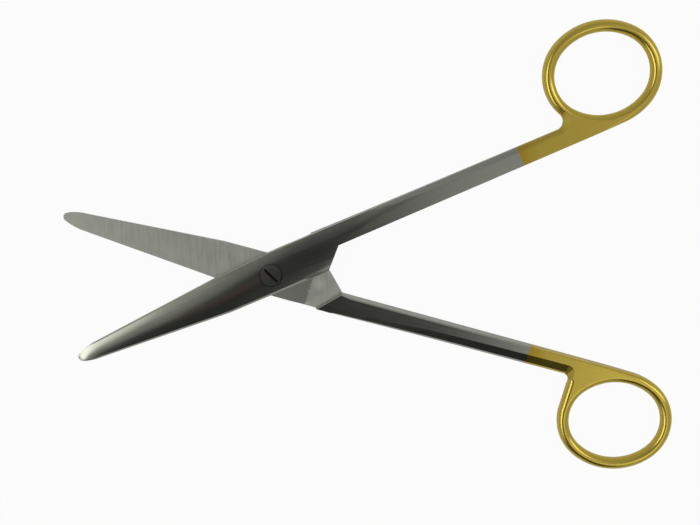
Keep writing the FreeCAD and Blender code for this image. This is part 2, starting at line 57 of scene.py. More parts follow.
class Wire:
    # one output of a shader node, with arithmetic that adds Math nodes
    def __init__(self, graph, socket):
        self.graph = graph
        self.socket = socket

    def math(self, operation, *others):
        inputs = {0: self}
        for place, other in enumerate(others, start=1):
            inputs[place] = other
        return self.graph.node("ShaderNodeMath", {"operation": operation}, inputs)

    def __add__(self, other):
        return self.math("ADD", other)

    def __sub__(self, other):
        return self.math("SUBTRACT", other)

    def __mul__(self, other):
        return self.math("MULTIPLY", other)

    def __truediv__(self, other):
        return self.math("DIVIDE", other)

    def __rsub__(self, other):
        return self.math("MULTIPLY_ADD", -1.0, other)

    def __abs__(self):
        return self.math("ABSOLUTE")

    __radd__ = __add__
    __rmul__ = __mul__


class Graph:
    # a node tree that is filled by one method
    def __init__(self, tree):
        self.tree = tree
        tree.nodes.clear()

    def node(self, kind, settings=None, inputs=None, output=0):
        made = self.tree.nodes.new(kind)
        for name, value in (settings or {}).items():
            setattr(made, name, value)
        for name, value in (inputs or {}).items():
            if isinstance(value, Wire):
                self.tree.links.new(value.socket, made.inputs[name])
            else:
                made.inputs[name].default_value = value
        return Wire(self, made.outputs[output])

    def finish(self, shader, kind="ShaderNodeOutputMaterial"):
        out = self.tree.nodes.new(kind)
        self.tree.links.new(shader.socket, out.inputs["Surface"])


def newMaterial(name):
    material = bpy.data.materials.new(name)
    material.use_nodes = True
    return material, Graph(material.node_tree)


def blendColours(graph, share, first, second):
    return graph.node("ShaderNodeMix", {"data_type": "RGBA"}, {0: share, 6: first, 7: second}, output=2)


# Camera, as in the photograph: above the ring side, looking down across the open halves
cameraPlace = {
    "eye": (25.7 * mm, 71.9 * mm, 361.67 * mm),
    "aim": (20.8 * mm, 1.6 * mm, 2.37 * mm),
    "lens": 72.0,
    "sensor": 36.0,
    "nearest": 10.0 * mm,
}


def addCamera():
    back = (Vector(cameraPlace["eye"]) - Vector(cameraPlace["aim"])).normalized()
    right = Vector((back.y, -back.x, 0.0)).normalized()
    up = back.cross(right)
    data = bpy.data.cameras.new("camera")
    data.lens = cameraPlace["lens"]
    data.sensor_width = cameraPlace["sensor"]
    data.clip_start = cameraPlace["nearest"]
    camera = bpy.data.objects.new("camera", data)
    bpy.context.scene.collection.objects.link(camera)
    camera.matrix_world = Matrix((
        (right.x, up.x, back.x, cameraPlace["eye"][0]),
        (right.y, up.y, back.y, cameraPlace["eye"][1]),
        (right.z, up.z, back.z, cameraPlace["eye"][2]),
        (0.0, 0.0, 0.0, 1.0),
    ))
    bpy.context.scene.camera = camera


addCamera()
print("camera placed")


# One half, drawn closed in millimetres: X from the pivot to the ring, Y towards the ring's side,
# Z = 0 on the sliding face and the outer face up
halfForm = {
    "opening": 19.48,
    "gap": 0.03,
    "thickness": 2.35,
    "low": 1.95,
    "slopeStart": 22.0,
    "shankGap": 0.3,
    "shankOuter": 5.68,
    "shankOuterRear": 5.3,
    "jointSpine": 4.95,
    "jointFront": 14.0,
    "shoulderFront": 14.3,
    "shoulderRear": 19.4,
    "flareStart": 8.0,
    "flareRadius": 330.0,
    "bladeReach": 56.0,
    "noseLength": 6.0,
    "noseEdge": 1.95,
    "noseSpine": 2.55,
    "noseEdgeRadius": 16.0,
    "noseSpineRadius": 14.0,
    "noseFullness": 2.6,
    "tipLength": 0.73,
    "tipSet": 0.45,
    "tipRadius": 1.12,
    "tipShare": 0.4,
    "webStart": 68.0,
    "step": 0.7,
}

ringForm = {
    "along": 98.6,
    "tilt": 13.0,
    "holeLength": 24.5,
    "holeWidth": 21.0,
    "endRadius": 9.6,
    "band": 3.1,
    "halfThickness": 1.65,
    "cornerRadius": {1.0: 2.2, -1.0: 1.6},
    "cornerBack": {1.0: 0.0, -1.0: 2.2},
}


def spot(x, y):
    return Vector((x, y, 0.0))


def arcPoints(centre, radius, first, last):
    # along an arc from one angle to the other, both ends included
    count = max(3, math.ceil(abs(last - first) * radius / halfForm["step"]))
    return [
        centre + spot(math.cos(angle), math.sin(angle)) * radius
        for angle in (first + (last - first) * share / count for share in range(count + 1))
    ]


def stepsBetween(first, last):
    count = math.ceil((last - first).length / halfForm["step"])
    return [first.lerp(last, share / count) for share in range(count + 1)]


def shankOuterAt(x):
    # the shank's outer side narrows evenly from the joint to the ring
    form = halfForm
    crookX = crookCentre(1.0).x
    share = (x - form["flareStart"]) / (crookX - form["flareStart"])
    return form["shankOuter"] + (form["shankOuterRear"] - form["shankOuter"]) * share


def crookCentre(side):
    # centre of the concave corner between shank and ring; the lower half's is tighter and set back
    form, ring = halfForm, ringForm
    left = ringFrame()[0]["left"]
    inset = ring["cornerRadius"][side]
    y = form["shankOuterRear"] + inset
    reach = ring["endRadius"] + ring["band"] + inset
    return spot(left.x - math.sqrt(reach ** 2 - (y - left.y) ** 2) - ring["cornerBack"][side], y)


def bulge(first, last, radius):
    # an arc between two points that bulges to the right of the way from one to the other
    run = last - first
    side = spot(run.y, -run.x).normalized()
    centre = (first + last) / 2.0 - side * math.sqrt(radius ** 2 - run.length_squared / 4.0)
    start = heading(first - centre)
    turn = (heading(last - centre) - start + math.pi) % math.tau - math.pi
    return arcPoints(centre, radius, start, start + turn)


def heading(way):
    return math.atan2(way.y, way.x)


def ringFrame():
    # centres of the oval's four arcs and the angles at which they meet
    ring, form = ringForm, halfForm
    half, across = ring["holeLength"] / 2.0, ring["holeWidth"] / 2.0
    end = ring["endRadius"]
    side = (half ** 2 + across ** 2 - 2.0 * half * end) / (2.0 * (across - end))
    tilt = -math.radians(ring["tilt"])
    out = form["shankGap"] + ring["band"] + side - (side - across) * math.cos(tilt)
    middle = spot(ring["along"], out)
    lengthwise = spot(math.cos(tilt), math.sin(tilt)) * (half - end)
    crosswise = spot(-math.sin(tilt), math.cos(tilt)) * (side - across)
    centres = {
        "right": middle + lengthwise,
        "top": middle - crosswise,
        "left": middle - lengthwise,
        "bottom": middle + crosswise,
    }
    meets = {
        "rightTop": heading(centres["right"] - centres["top"]),
        "topLeft": heading(centres["left"] - centres["top"]),
        "leftBottom": heading(centres["left"] - centres["bottom"]) + math.tau,
        "bottomRight": heading(centres["right"] - centres["bottom"]),
    }
    return centres, meets, end, side


def holeLine():
    centres, meets, end, side = ringFrame()
    line = arcPoints(centres["right"], end, meets["bottomRight"], meets["rightTop"])[:-1]
    line += arcPoints(centres["top"], side, meets["rightTop"], meets["topLeft"])[:-1]
    line += arcPoints(centres["left"], end, meets["topLeft"], meets["leftBottom"])[:-1]
    line += arcPoints(centres["bottom"], side, meets["leftBottom"], meets["bottomRight"] + math.tau)[:-1]
    return line


def outerLine(half):
    # from the joint's lower front corner anticlockwise round the whole half
    form, ring = halfForm, ringForm
    centres, meets, end, side = ringFrame()
    end += ring["band"]
    side += ring["band"]
    inset = ring["cornerRadius"][half]
    crook = crookCentre(half)
    # the limb runs from the ring's arc to the corner's arc along their common tangent
    apart = crook - centres["left"]
    neck = heading(apart) % math.tau - math.acos(min(1.0, (end + inset) / apart.length))
    line = [
        spot(-form["jointFront"], -form["jointSpine"]),
        spot(form["shoulderFront"], -form["jointSpine"]),
        spot(form["shoulderRear"], form["shankGap"]),
    ]
    line += stepsBetween(
        spot(form["webStart"], form["shankGap"]), spot(centres["bottom"].x, form["shankGap"]))[:-1]
    line += arcPoints(centres["bottom"], side, -math.pi / 2.0, meets["bottomRight"])[:-1]
    line += arcPoints(centres["right"], end, meets["bottomRight"], meets["rightTop"])[:-1]
    line += arcPoints(centres["top"], side, meets["rightTop"], meets["topLeft"])[:-1]
    line += arcPoints(centres["left"], end, meets["topLeft"], neck)[:-1]
    line += arcPoints(crook, inset, neck - math.pi, -math.pi / 2.0)[:-1]
    line += stepsBetween(
        spot(crook.x, form["shankOuterRear"]), spot(form["webStart"], shankOuterAt(form["webStart"])))
    flareCentre = spot(form["flareStart"], form["shankOuter"] - form["flareRadius"])
    flareEnd = math.pi / 2.0 + math.asin((form["flareStart"] + form["jointFront"]) / form["flareRadius"])
    line += arcPoints(flareCentre, form["flareRadius"], math.pi / 2.0, flareEnd)
    noseX = form["noseLength"] - form["bladeReach"]
    tipX = form["tipLength"] - form["bladeReach"]
    halfChord = math.sqrt(form["tipRadius"] ** 2 - (form["tipRadius"] - form["tipLength"]) ** 2)
    tipEdge = spot(tipX, halfChord - form["tipSet"])
    tipSpine = spot(tipX, -halfChord - form["tipSet"])
    line += bulge(spot(noseX, form["noseEdge"]), tipEdge, form["noseEdgeRadius"])
    line += bulge(tipEdge, tipSpine, form["tipRadius"])[1:-1]
    line += bulge(tipSpine, spot(noseX, -form["noseSpine"]), form["noseSpineRadius"])
    return line


def outerHeight(x):
    form, ring = halfForm, ringForm
    share = max(0.0, (x - form["slopeStart"]) / (ring["along"] - form["slopeStart"]))
    return form["thickness"] + (ring["halfThickness"] - form["thickness"]) * share


def innerHeight(x):
    return halfForm["low"] + (ringForm["halfThickness"] - halfForm["low"]) * x / ringForm["along"]


def nearest(line, place):
    return min(range(len(line)), key=lambda index: (line[index] - place).length)


def stretch(line, first, last):
    # the part of a closed line from one index on to another, both included
    count = (last - first) % len(line)
    return [line[(first + step) % len(line)] for step in range(count + 1)]


def smoothStep(value, low, high):
    share = min(1.0, max(0.0, (value - low) / (high - low)))
    return share * share * (3.0 - 2.0 * share)


# Rounding of the blank's edges: full round the ring, and shares of it elsewhere
edgeForm = {
    "ringRounding": 1.5,
    "profile": 0.5,
    "segments": 9,
    "outer": 0.12,
    "outerBack": 4.0,
    "outerFull": 3.0,
    "innerLow": 0.30,
    "innerTop": 0.06,
    "webFrom": -9.0,
    "webTo": 6.0,
    "webShare": 0.8,
    "turnEnd": -0.1,  # radians, round the corner
    "touch": 0.01,
}


def edgeRounding(place, top, half):
    # share of the ring's rounding that an edge of the blank gets, by where it lies
    form, edges = halfForm, edgeForm
    centres, meets, end, side = ringFrame()
    crook = crookCentre(half)
    inside = place.y < form["shankGap"] + edges["touch"]
    if place.x < form["shoulderRear"] and inside:
        return 0.0
    if inside or onWeb(place, centres, side):
        small = edges["innerTop"] if top else edges["innerLow"]
        webFrom, webTo = centres["bottom"].x + edges["webFrom"], centres["right"].x + edges["webTo"]
        return small + (1.0 - small) * smoothStep(place.x, webFrom, webTo)
    if place.y > crook.y or place.x > centres["left"].x:
        return 1.0
    outerFrom = edges["outerBack"] - form["jointFront"]
    small = edges["outer"] * smoothStep(place.x, outerFrom, edges["outerFull"])
    if place.x <= crook.x - edges["touch"]:
        return small
    return small + (1.0 - small) * smoothStep(heading(place - crook), -math.pi / 2.0, edges["turnEnd"])


def onWeb(place, centres, side):
    # on the outline's side arc that runs on from the shank, outside the hole
    away = (place - centres["bottom"]).length
    beside = place.y < centres["left"].y and place.x > centres["bottom"].x
    return beside and away > side + edgeForm["webShare"] * ringForm["band"]


def blankMesh(half):
    # planform of two faces that meet across the ring, raised to full thickness
    shape = bmesh.new()
    outer, hole = outerLine(half), holeLine()
    centres, meets, end, side = ringFrame()
    outside = spot(end + ringForm["band"], 0.0)
    cuts = [
        (nearest(outer, centres["right"] + outside), nearest(hole, centres["right"] + spot(end, 0.0))),
        (nearest(outer, centres["left"] - outside), nearest(hole, centres["left"] - spot(end, 0.0))),
    ]
    outerVerts = [shape.verts.new(place) for place in outer]
    holeVerts = [shape.verts.new(place) for place in hole]
    for first, last in (cuts, cuts[::-1]):
        around = stretch(outerVerts, first[0], last[0])
        inside = stretch(holeVerts, first[1], last[1])
        shape.faces.new(around + inside[::-1])
    raised = bmesh.ops.extrude_face_region(shape, geom=shape.faces[:])["geom"]
    upper = {item for item in raised if isinstance(item, bmesh.types.BMVert)}
    for vert in upper:
        vert.co.z = halfForm["thickness"]
    bmesh.ops.bisect_plane(
        shape, geom=shape.verts[:] + shape.edges[:] + shape.faces[:],
        plane_co=spot(halfForm["slopeStart"], 0.0), plane_no=spot(1.0, 0.0),
    )
    for vert in shape.verts:
        above = vert.co.z > halfForm["thickness"] / 2.0
        vert.co.z = outerHeight(vert.co.x) if above else -innerHeight(vert.co.x)
    bmesh.ops.recalc_face_normals(shape, faces=shape.faces[:])
    weight = shape.edges.layers.float.new("bevel_weight_edge")
    for edge in shape.edges:
        sides = [face for face in edge.link_faces if abs(face.normal.z) < 0.5]
        if len(sides) == 1:
            middle = (edge.verts[0].co + edge.verts[1].co) / 2.0
            edge[weight] = edgeRounding(spot(middle.x, middle.y), middle.z > 0.0, half)
    return meshFrom(shape, "blank")


def meshFrom(shape, name):
    mesh = bpy.data.meshes.new(name)
    shape.to_mesh(mesh)
    shape.free()
    return mesh


def curveThrough(stations, x):
    # a smooth curve through (place, value, value, ...) rows
    rows = [stations[0]] + list(stations) + [stations[-1]]
    index = 1
    while index < len(rows) - 3 and x > rows[index + 1][0]:
        index += 1
    before, first, last, after = rows[index - 1:index + 3]
    share = min(1.0, max(0.0, (x - first[0]) / (last[0] - first[0])))
    values = []
    for column in range(1, len(first)):
        span = last[0] - first[0]
        slopeIn = (last[column] - before[column]) / (last[0] - before[0]) * span
        slopeOut = (after[column] - first[column]) / (after[0] - first[0]) * span
        values.append(hermite(share, first[column], last[column], slopeIn, slopeOut))
    return values


def hermite(share, first, last, slopeIn, slopeOut):
    square, cube = share ** 2, share ** 3
    return ((2.0 * cube - 3.0 * square + 1.0) * first + (cube - 2.0 * square + share) * slopeIn
            + (3.0 * square - 2.0 * cube) * last + (cube - square) * slopeOut)


# Crowned outer face: place, crest height, crest offset, curvature, spine facet and its slope, edge bevel
crownForm = {
    "stations": [
        (-57.0, 0.20, -0.45, 0.115, 0.15, 0.80, 0.10),
        (-55.6, 0.62, -0.45, 0.110, 0.22, 0.80, 0.14),
        (-54.0, 0.90, -0.50, 0.105, 0.32, 0.80, 0.20),
        (-50.0, 1.14, -0.70, 0.096, 0.42, 0.80, 0.26),
        (-35.0, 1.56, -0.90, 0.062, 0.48, 0.80, 0.30),
        (-20.0, 1.96, -0.90, 0.050, 0.50, 0.80, 0.30),
        (-8.0, 2.22, -0.60, 0.040, 0.52, 0.78, 0.28),
        (3.0, 2.33, -0.20, 0.034, 0.56, 0.70, 0.22),
        (12.0, 2.335, 0.00, 0.030, 0.80, 0.36, 0.12),
        (20.0, 2.33, 0.80, 0.034, 0.90, 0.36, 0.05),
        (28.0, 2.30, 1.90, 0.036, 0.60, 0.30, 0.02),
        (40.0, 2.20, 2.40, 0.022, 0.30, 0.30, 0.01),
        (57.0, 2.04, 2.60, 0.012, 0.20, 0.30, 0.01),
        (74.0, 1.91, 2.70, 0.004, 0.20, 0.30, 0.01),
    ],
    "bevelSlope": 0.9,
    "columns": 26,
    "rows": 120,
    "overhang": 1.4,
    "top": 6.0,
}


def crownHeight(x, y):
    crest, offset, curve = curveThrough(crownForm["stations"], x)[:3]
    return crest - (y - offset) ** 2 * curve / 2.0


def halfWidths(x):
    # where the outline crosses this station: spine side and edge side
    form = halfForm
    noseX = form["noseLength"] - form["bladeReach"]
    front = -form["jointFront"]
    flare = form["shankOuter"] - form["flareRadius"] + math.sqrt(
        form["flareRadius"] ** 2 - (min(x, form["flareStart"]) - form["flareStart"]) ** 2)
    if x > front:
        return -form["jointSpine"], flare
    if x > noseX:
        share = (x - noseX) / (front - noseX)
        edgeFront = form["shankOuter"] - form["flareRadius"] + math.sqrt(
            form["flareRadius"] ** 2 - (front - form["flareStart"]) ** 2)
        return (-form["noseSpine"] + (form["noseSpine"] - form["jointSpine"]) * share,
                form["noseEdge"] + (edgeFront - form["noseEdge"]) * share)
    share = min(1.0, (noseX - x) / form["noseLength"])
    fall = 1.0 - math.sqrt(max(0.0, 1.0 - share ** form["noseFullness"]))
    reach = form["tipRadius"] * form["tipShare"]
    return (-form["noseSpine"] + (form["noseSpine"] - form["tipSet"] - reach) * fall,
            form["noseEdge"] + (-form["noseEdge"] - form["tipSet"] + reach) * fall)


def crownColumn(x, share):
    # one point of the crown's section: share runs from the spine's side to the edge's side
    spine, edge = halfWidths(x)
    facet, slope, bevel = curveThrough(crownForm["stations"], x)[3:]
    columns, overhang = crownForm["columns"], crownForm["overhang"]
    column = round(share * columns)
    low, high = spine + facet, edge - bevel
    if column == 0:
        return low - facet - overhang, crownHeight(x, low) - (facet + overhang) * slope
    if column == columns:
        fall = (bevel + overhang) * crownForm["bevelSlope"]
        return high + bevel + overhang, crownHeight(x, high) - fall
    place = low + (high - low) * (column - 1) / (columns - 2)
    return place, crownHeight(x, place)


def crownCutter():
    shape = bmesh.new()
    bmesh.ops.create_grid(
        shape, x_segments=crownForm["rows"], y_segments=crownForm["columns"], size=0.5)
    first, last = crownForm["stations"][0][0], crownForm["stations"][-1][0]
    for vert in shape.verts:
        x = first + (last - first) * (vert.co.x + 0.5)
        y, z = crownColumn(x, vert.co.y + 0.5)
        vert.co = (x, y, z)
    raised = bmesh.ops.extrude_face_region(shape, geom=shape.faces[:])["geom"]
    for item in raised:
        if isinstance(item, bmesh.types.BMVert):
            item.co.z = crownForm["top"]
    bmesh.ops.recalc_face_normals(shape, faces=shape.faces[:])
    return meshFrom(shape, "crownCutter")


# Lap step: wall place from the shoulder, hollow in front of it and small breaks on its edges
stepForm = {
    "clearance": 0.08,
    "hollowWidth": 4.9,
    "hollowDepth": 0.30,
    "hollowMargin": 0.35,
    "hollowSteps": 12,
    "footBreak": 0.10,
    "topBreak": 0.16,
    "topRun": 3.0,
    "topFall": 2.0,
    "reach": 120.0,
    "rimWidth": 0.62,
    "rimDepth": 0.13,
    "rimOver": 2.0,
    "rimShare": 0.95,
    "rimStart": 1.0,
}


def extrudedProfile(name, profile, length, place, turn):
    # a profile in (across, up), drawn out along the third direction and set at a place
    shape = bmesh.new()
    face = shape.faces.new([shape.verts.new((across, 0.0, up)) for across, up in profile])
    raised = bmesh.ops.extrude_face_region(shape, geom=[face])["geom"]
    bmesh.ops.translate(
        shape, vec=(0.0, length, 0.0), verts=[v for v in raised if isinstance(v, bmesh.types.BMVert)])
    bmesh.ops.recalc_face_normals(shape, faces=shape.faces[:])
    bmesh.ops.transform(
        shape, matrix=Matrix.Translation(place) @ Matrix.Rotation(turn, 4, "Z"), verts=shape.verts[:])
    return meshFrom(shape, name)


def shoulderLean():
    form = halfForm
    return (form["shoulderRear"] - form["shoulderFront"]) / (form["jointSpine"] + form["shankGap"])


def wallAway():
    lean = shoulderLean()
    away = (halfForm["shoulderRear"] - halfForm["shankGap"] * lean) / math.hypot(1.0, lean)
    return away + stepForm["clearance"]


def pastBlank():
    # a height that clears the blank, above and below
    return 3.0 * halfForm["low"]


def stepCutter():
    form, wall, low = stepForm, wallAway(), halfForm["low"]
    rear = wall - form["hollowMargin"]
    front = rear - form["hollowWidth"]
    topEnd = wall + form["topBreak"] * form["topRun"]
    profile = [(wall - form["reach"], -pastBlank()), (wall - form["reach"], 0.0)]
    for step in range(form["hollowSteps"] + 1):
        share = step / form["hollowSteps"]
        dip = form["hollowDepth"] * 4.0 * share * (1.0 - share)
        profile.append((front + (rear - front) * share, dip))
    profile += [
        (wall - form["footBreak"], 0.0),
        (wall, -form["footBreak"]),
        (wall, form["topBreak"] - low),
        (topEnd, -low - form["topBreak"] * form["topFall"]),
        (topEnd, -pastBlank()),
    ]
    turn = math.atan(shoulderLean())
    side = spot(math.sin(turn), -math.cos(turn)) * form["reach"]
    return extrudedProfile("stepCutter", profile, 2.0 * form["reach"], side, turn)


def rimCutter():
    # thin bevel along the shoulder's edge on the sliding face
    form = stepForm
    width, depth, over = form["rimWidth"], form["rimDepth"], form["rimOver"]
    profile = [
        (over, depth + over * depth / width),
        (-width, 0.0),
        (-width, -over),
        (over, -over),
    ]
    start = spot(halfForm["shoulderFront"], -halfForm["jointSpine"])
    end = spot(halfForm["shoulderRear"], halfForm["shankGap"])
    way = end - start
    turn = heading(way) - math.pi / 2.0
    length = way.length * form["rimShare"] + form["rimStart"]
    start = start - way.normalized() * form["rimStart"]
    return extrudedProfile("rimCutter", profile, length, start, turn)


# Facets ground along the shank's outer side, above and below, which turn into the ring at their end:
# distance of the crease from the side by place, its last distance round the corner, the slopes at both
# ends, how far the facet turns, and how much the narrow facet lies under the face that the wide one cut
facetForms = {
    "low": {
        "widths": [(14.6, 0.02), (30.0, 1.62), (44.0, 2.45), (60.0, 2.70), (74.0, 2.80)],
        "endWidth": 0.5,
        "slopes": (0.42, 0.60),
        "turnAngle": 82.0,
        "drop": 0.0,
    },
    "lowEdge": {
        "widths": [(18.0, 0.30), (30.0, 0.45), (44.0, 0.55), (60.0, 0.58), (74.0, 0.60)],
        "endWidth": 0.1,
        "slopes": (1.30, 1.30),
        "turnAngle": 40.0,
        "drop": 0.42,
    },
    "top": {
        "widths": [(24.0, 0.02), (34.0, 0.85), (50.0, 1.35), (78.0, 1.45)],
        "endWidth": 1.4,
        "slopes": (0.36, 1.00),
        "turnAngle": 115.0,
        "drop": 0.0,
    },
}
facetReach = {
    "overlap": 0.4,
    "reach": 4.2,
    "clear": 0.4,
    "cornerSteps": 16,
    "bendFrom": 0.2,
    "steepTo": 0.6,
}


def facetPath(face, half):
    # the facet's crease: point, way out, how far it goes, slope and how far below the face it lies
    form, reach = facetForms[face], facetReach
    gentle, steep = form["slopes"]
    outer = dict(facetForms["low"]["widths"])
    path = []
    for x, width in form["widths"]:
        drop = form["drop"] * max(0.0, outer.get(x, width) - width)
        path.append((spot(x, shankOuterAt(x) - width), spot(0.0, 1.0), reach["reach"], gentle, drop))
    crook, inset = crookCentre(half), ringForm["cornerRadius"][half]
    width, fullDrop = form["widths"][-1][1], drop
    for step in range(reach["cornerSteps"] + 1):
        share = step / reach["cornerSteps"]
        angle = math.radians(-90.0 + form["turnAngle"] * share)
        away = spot(math.cos(angle), math.sin(angle))
        bend = smoothStep(share, reach["bendFrom"], 1.0)
        radius = inset + width + (form["endWidth"] - width) * bend
        length = min(reach["reach"], radius - reach["clear"])
        slope = gentle + (steep - gentle) * smoothStep(share, 0.0, reach["steepTo"])
        path.append((crook + away * radius, -away, length, slope, fullDrop * (1.0 - bend)))
    return path


def facetCutter(face, half):
    path = facetPath(face, half)
    shape = bmesh.new()
    bmesh.ops.create_grid(shape, x_segments=len(path) - 1, y_segments=1, size=0.5)
    for vert in shape.verts:
        place, way, length, slope, drop = path[round((vert.co.x + 0.5) * (len(path) - 1))]
        out = length if vert.co.y > 0.0 else -facetReach["overlap"]
        rise = outerHeight(place.x) if face == "top" else innerHeight(place.x)
        vert.co = (place.x + way.x * out, place.y + way.y * out, rise - drop - out * slope)
    raised = bmesh.ops.extrude_face_region(shape, geom=shape.faces[:])["geom"]
    for item in raised:
        if isinstance(item, bmesh.types.BMVert):
            item.co.z = pastBlank()
    if face != "top":
        bmesh.ops.scale(shape, vec=(1.0, 1.0, -1.0), verts=shape.verts[:])
    bmesh.ops.triangulate(shape, faces=shape.faces[:])
    bmesh.ops.recalc_face_normals(shape, faces=shape.faces[:])
    return meshFrom(shape, face + "Facet")


screwForm = {
    "shaft": 1.6,
    "head": 2.8,
    "rim": 0.3,
    "clearance": 0.05,
    "break": 0.15,
    "breakBelow": 0.05,
    "breakOver": 0.02,
    "tipBreak": 0.08,
    "overCrown": 0.2,
    "boreFrom": -3.0,
    "boreTo": 6.0,
    "merge": 0.0001,
    "slotLength": 4.8,
    "slotWidth": 0.60,
    "slotDepth": 0.7,
    "slotTurn": -47.5,
    "steps": 96,
}


def turnedMesh(name, profile):
    # a profile of (radius, height) points turned once round the pivot
    shape = bmesh.new()
    verts = [shape.verts.new((radius, 0.0, height)) for radius, height in profile]
    edges = [shape.edges.new(pair) for pair in zip(verts, verts[1:])]
    bmesh.ops.spin(
        shape, geom=verts + edges, cent=(0.0, 0.0, 0.0), axis=(0.0, 0.0, 1.0),
        angle=math.tau, steps=screwForm["steps"], use_merge=True)
    bmesh.ops.remove_doubles(shape, verts=shape.verts[:], dist=screwForm["merge"])
    bmesh.ops.recalc_face_normals(shape, faces=shape.faces[:])
    return meshFrom(shape, name)


def boreCutter(countersunk):
    # plain bore of the lower half, or the upper half's bore with the seat of the screw's head
    form, thickness = screwForm, halfForm["thickness"]
    gap, shaft, low, high = form["clearance"], form["shaft"], form["boreFrom"], form["boreTo"]
    if not countersunk:
        return turnedMesh("boreCutter", [(0.0, low), (shaft, low), (shaft, high), (0.0, high)])
    rimLow = thickness - form["rim"]
    seat = rimLow - (form["head"] - shaft)
    return turnedMesh("sinkCutter", [
        (0.0, low),
        (shaft + gap, low),
        (shaft + gap, seat),
        (form["head"] + gap, rimLow),
        (form["head"] + gap, thickness - form["break"] - form["breakBelow"]),
        (form["head"] + gap + form["break"], thickness + form["breakOver"]),
        (form["head"] + gap + form["break"], high),
        (0.0, high),
    ])


def toObject(mesh):
    made = bpy.data.objects.new(mesh.name, mesh)
    bpy.context.scene.collection.objects.link(made)
    return made


def cutAway(target, cutters):
    for cutter in cutters:
        cut = target.modifiers.new(cutter.name, "BOOLEAN")
        cut.operation = "DIFFERENCE"
        cut.solver = "EXACT"
        cut.object = cutter


meshForm = {
    "weld": 0.002 * mm,
    "sliver": 0.001 * mm,
    "creaseAngle": 20.0,
}


def applyAll(target, cutters, name, matrix):
    # the finished mesh with its modifiers applied, set in its place in metres
    bpy.context.view_layer.update()
    graph = bpy.context.evaluated_depsgraph_get()
    mesh = bpy.data.meshes.new_from_object(target.evaluated_get(graph))
    mesh.name = name
    for used in [target] + cutters:
        data = used.data
        bpy.data.objects.remove(used)
        bpy.data.meshes.remove(data)
    mesh.transform(matrix @ Matrix.Scale(mm, 4))
    shape = bmesh.new()
    shape.from_mesh(mesh)
    bmesh.ops.remove_doubles(shape, verts=shape.verts[:], dist=meshForm["weld"])
    bmesh.ops.dissolve_degenerate(shape, dist=meshForm["sliver"], edges=shape.edges[:])
    # hairline slits that the cuts leave between their edges are closed
    bmesh.ops.holes_fill(shape, edges=[edge for edge in shape.edges if edge.is_boundary], sides=0)
    crease = math.radians(meshForm["creaseAngle"])
    for edge in shape.edges:
        edge.smooth = len(edge.link_faces) == 2 and edge.calc_face_angle(0.0) < crease
    for face in shape.faces:
        face.smooth = True
    shape.to_mesh(mesh)
    shape.free()
    mesh.update()
    made = toObject(mesh)
    shading = made.modifiers.new("shading", "WEIGHTED_NORMAL")
    shading.keep_sharp = True
    return made


def halfPlace(side):
    # upper half: turned about the pivot; lower half: turned over first
    form = halfForm
    lift = (form["thickness"] + form["gap"] / 2.0 + side * form["gap"] / 2.0) * mm
    turn = Matrix.Rotation(math.radians(form["opening"]) * side, 4, "Z")
    over = Matrix.Rotation(0.0 if side > 0.0 else math.pi, 4, "X")
    return Matrix.Translation((0.0, 0.0, lift)) @ turn @ over


def makeHalf(name, node, body, side, material):
    blank = toObject(blankMesh(side))
    rounding = blank.modifiers.new("rounding", "BEVEL")
    rounding.limit_method = "WEIGHT"
    rounding.offset_type = "OFFSET"
    rounding.width = edgeForm["ringRounding"]
    rounding.segments = edgeForm["segments"]
    rounding.profile = edgeForm["profile"]
    rounding.use_clamp_overlap = False
    # the order of the cuts matters: each one meets the faces that those before it left
    meshes = [facetCutter(face, side) for face in ("low", "top", "lowEdge")]
    meshes += [boreCutter(side > 0.0), stepCutter(), crownCutter(), rimCutter()]
    cutters = [toObject(mesh) for mesh in meshes]
    cutAway(blank, cutters)
    half = applyAll(blank, cutters, name, halfPlace(side))
    half.data.materials.clear()
    half.data.materials.append(material)
    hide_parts(node)
    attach(half, body)
    print(name, "made:", len(half.data.vertices), "vertices")


def makeScrew(material):
    form, thickness = screwForm, halfForm["thickness"]
    top = 2.0 * thickness + halfForm["gap"]
    rimLow = top - form["rim"]
    seat = rimLow - (form["head"] - form["shaft"])
    crest = top + form["overCrown"]
    screw = toObject(turnedMesh("screwBlank", [
        (0.0, 0.0),
        (form["shaft"] - form["tipBreak"], 0.0),
        (form["shaft"], form["tipBreak"]),
        (form["shaft"], seat),
        (form["head"], rimLow),
        (form["head"], crest),
        (0.0, crest),
    ]))
    slot = bmesh.new()
    bmesh.ops.create_cube(slot, size=1.0)
    size = (form["slotLength"], form["slotWidth"], 2.0 * form["slotDepth"])
    bmesh.ops.scale(slot, vec=size, verts=slot.verts[:])
    bmesh.ops.translate(slot, vec=(0.0, 0.0, top), verts=slot.verts[:])
    turn = math.radians(form["slotTurn"] - halfForm["opening"])
    spun = Matrix.Rotation(turn, 3, "Z")
    bmesh.ops.rotate(slot, cent=(0.0, 0.0, 0.0), matrix=spun, verts=slot.verts[:])
    # the head is cut by the upper half's own crown, so it lies flush in it
    crown = crownCutter()
    crown.transform(Matrix.Translation((0.0, 0.0, top - thickness)))
    cutters = [toObject(crown), toObject(meshFrom(slot, "slotCutter"))]
    cutAway(screw, cutters)
    placed = Matrix.Rotation(math.radians(halfForm["opening"]), 4, "Z")
    screw = applyAll(screw, cutters, "jointScrew", placed)
    screw.data.materials.clear()
    screw.data.materials.append(material)
    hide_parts("joint_screw")
    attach(screw, "lower")
    print("screw made:", len(screw.data.vertices), "vertices")


